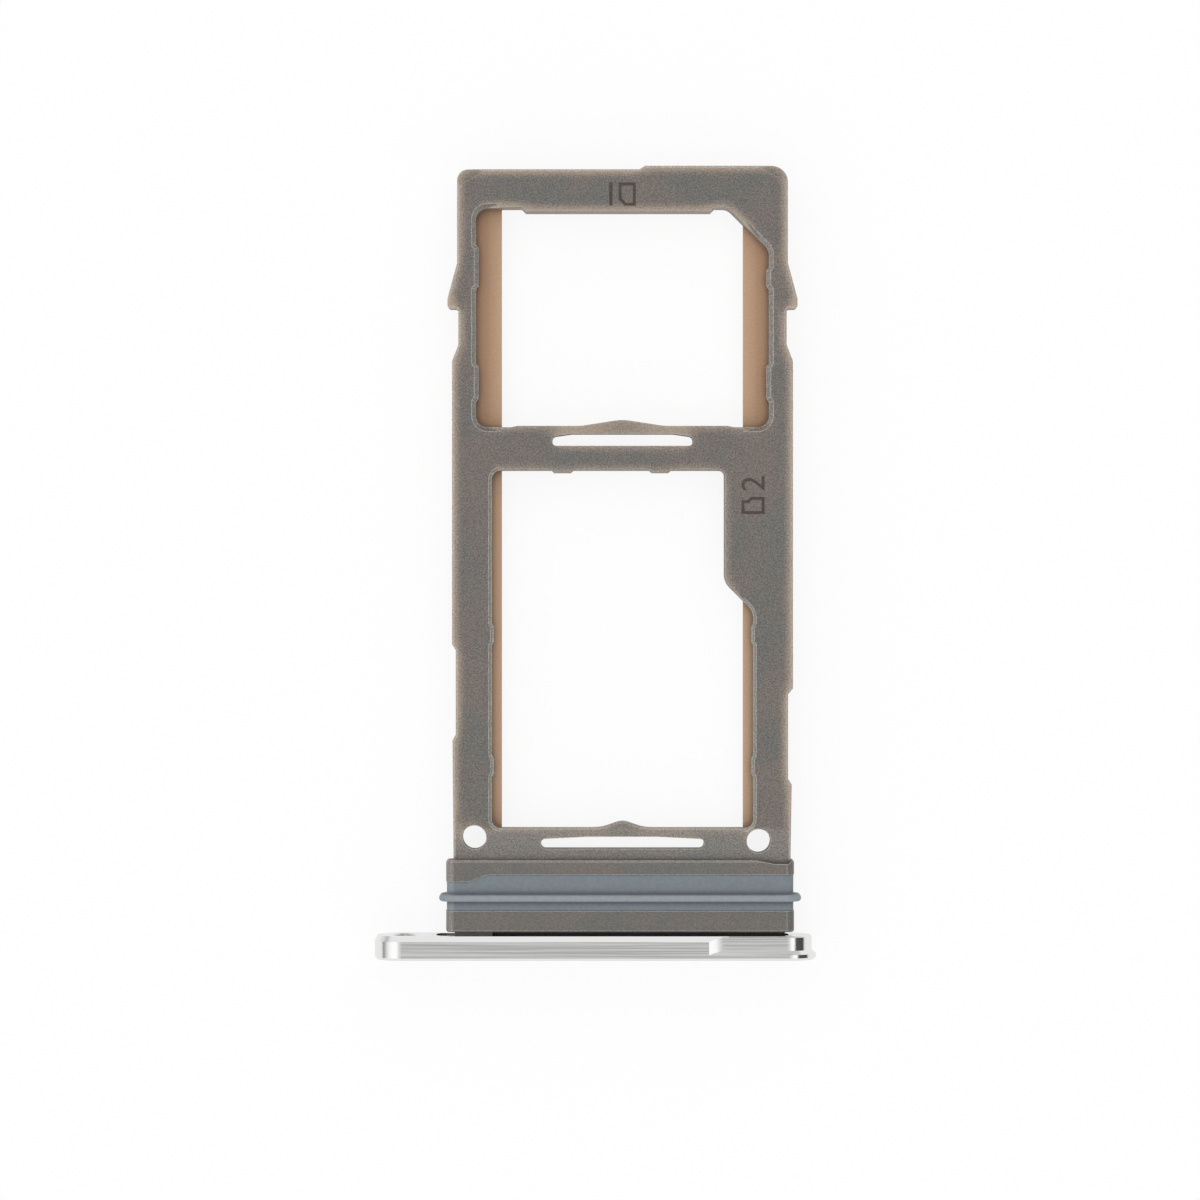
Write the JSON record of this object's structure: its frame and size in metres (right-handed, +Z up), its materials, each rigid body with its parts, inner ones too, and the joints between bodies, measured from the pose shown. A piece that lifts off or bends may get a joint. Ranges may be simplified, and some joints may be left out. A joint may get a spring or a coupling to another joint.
{
  "type": "sim card tray",
  "caption": "Flat phone card tray: moulded plastic frame with a clipped SIM bay and a memory card bay, silicone seal round the neck, metal end plate with an eject hole.",
  "frame": {"origin": "centre of the tray's overall box in X and Y, at the height of the end plate's underside", "axes": "+Y from the end plate to the tip, the way the tray goes into the phone; +Z up, out of the card bays; +X across the tray, towards the clipped corner of the SIM bay"},
  "size_m": [0.019, 0.0342, 0.0024],
  "materials": {
    "frame_plastic": "fine spark-eroded moulding texture",
    "seal_silicone": "matt moulded silicone",
    "plate_aluminium": "milled and anodised"
  },
  "bodies": {
    "root": {"tray_frame": "frame_plastic", "seal_ring": "seal_silicone", "end_plate": "plate_aluminium"}
  },
  "joints": []
}
